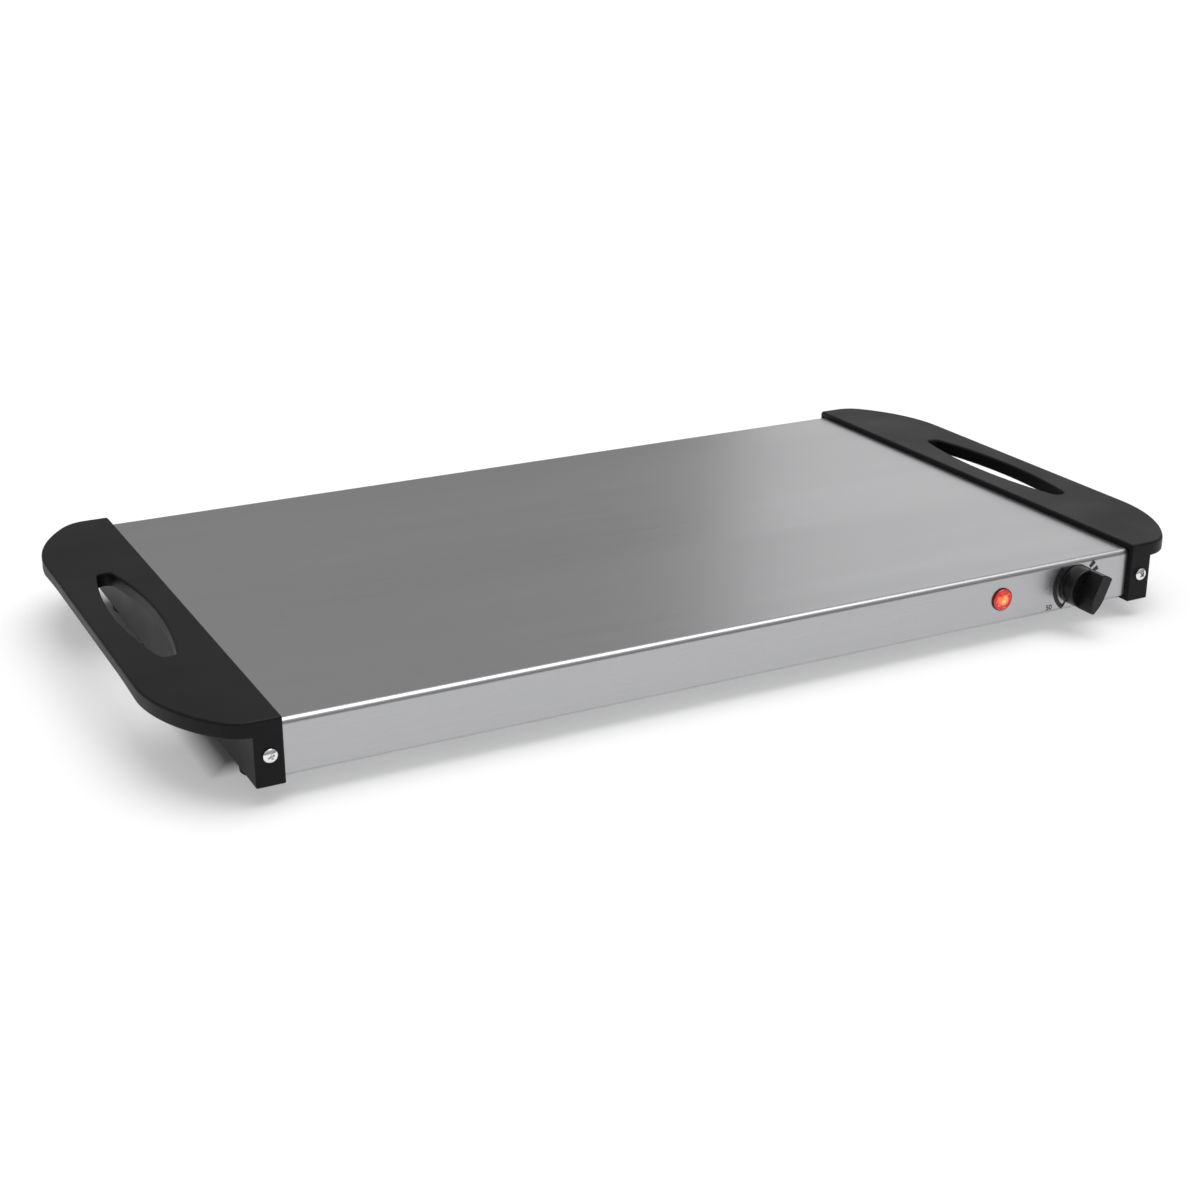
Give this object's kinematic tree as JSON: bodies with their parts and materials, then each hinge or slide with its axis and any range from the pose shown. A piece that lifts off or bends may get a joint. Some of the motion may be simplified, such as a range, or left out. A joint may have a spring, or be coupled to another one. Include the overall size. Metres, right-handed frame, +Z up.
{
  "type": "buffet server",
  "caption": "Flat stainless warming tray held between two black moulded end handles, with a pointer knob and a round indicator lamp on its front face.",
  "frame": {"origin": "under the middle of the whole outline, on the surface that the feet stand on", "axes": "+X along the tray towards the knob's end, -Y towards the front face with the knob, +Z up"},
  "size_m": [0.602, 0.3367, 0.044],
  "materials": {
    "steel": "brushed",
    "cover_steel": "satin",
    "black_moulding": "matte",
    "black_knob": "satin",
    "bright_plating": "polished",
    "aluminium": "satin",
    "sheath": "oxidised",
    "ceramic": "unglazed",
    "red_lens": "gloss",
    "bulb_glass": "clear",
    "fibre": "fibrous",
    "foot_rubber": "matte",
    "nylon": "satin",
    "brass": "satin"
  },
  "bodies": {
    "server": {"top_tray": "steel", "base_cover": "cover_steel", "left_handle": "black_moulding", "right_handle": "black_moulding", "handle_screw_front_left": "bright_plating", "handle_screw_front_right": "bright_plating", "handle_screw_back_left": "bright_plating", "handle_screw_back_right": "bright_plating", "handle_nut_front_left": "bright_plating", "handle_nut_front_right": "bright_plating", "handle_nut_back_left": "bright_plating", "handle_nut_back_right": "bright_plating", "foot_front_left": "foot_rubber", "foot_front_right": "foot_rubber", "foot_back_left": "foot_rubber", "foot_back_right": "foot_rubber", "foot_screw_front_left": "bright_plating", "foot_screw_front_right": "bright_plating", "foot_screw_back_left": "bright_plating", "foot_screw_back_right": "bright_plating", "base_screw_1": "bright_plating", "base_screw_2": "bright_plating", "base_screw_3": "bright_plating", "base_screw_4": "bright_plating", "base_screw_5": "bright_plating", "base_screw_6": "bright_plating", "heat_spreader": "aluminium", "heating_element": "sheath", "element_terminal_front": "ceramic", "element_terminal_back": "ceramic", "clamp_bar_1": "cover_steel", "clamp_bar_2": "cover_steel", "clamp_bar_3": "cover_steel", "clamp_nut_1": "bright_plating", "clamp_nut_2": "bright_plating", "clamp_nut_3": "bright_plating", "clamp_nut_4": "bright_plating", "clamp_nut_5": "bright_plating", "clamp_nut_6": "bright_plating", "thermal_cutout": "ceramic", "insulation_mat": "fibre", "thermostat_bracket": "cover_steel", "thermostat_body": "ceramic", "thermostat_nut": "bright_plating", "lamp_lens": "red_lens", "lamp_base": "nylon", "lamp_bulb": "bulb_glass", "lamp_clip": "cover_steel", "cord_gland": "nylon", "gland_clip": "cover_steel", "terminal_block": "ceramic", "block_screw": "bright_plating", "earth_screw": "bright_plating", "earth_tag": "brass", "earth_nut": "bright_plating"},
    "knob": {"knob": "black_knob", "thermostat_spindle": "brass"}
  },
  "joints": [
    {"name": "knob_turn", "type": "hinge", "parent": "server", "child": "knob", "pos_m": [0.2134, -0.14825, 0.0262], "axis": [0, 1, 0], "range_deg": [0, 290]}
  ]
}
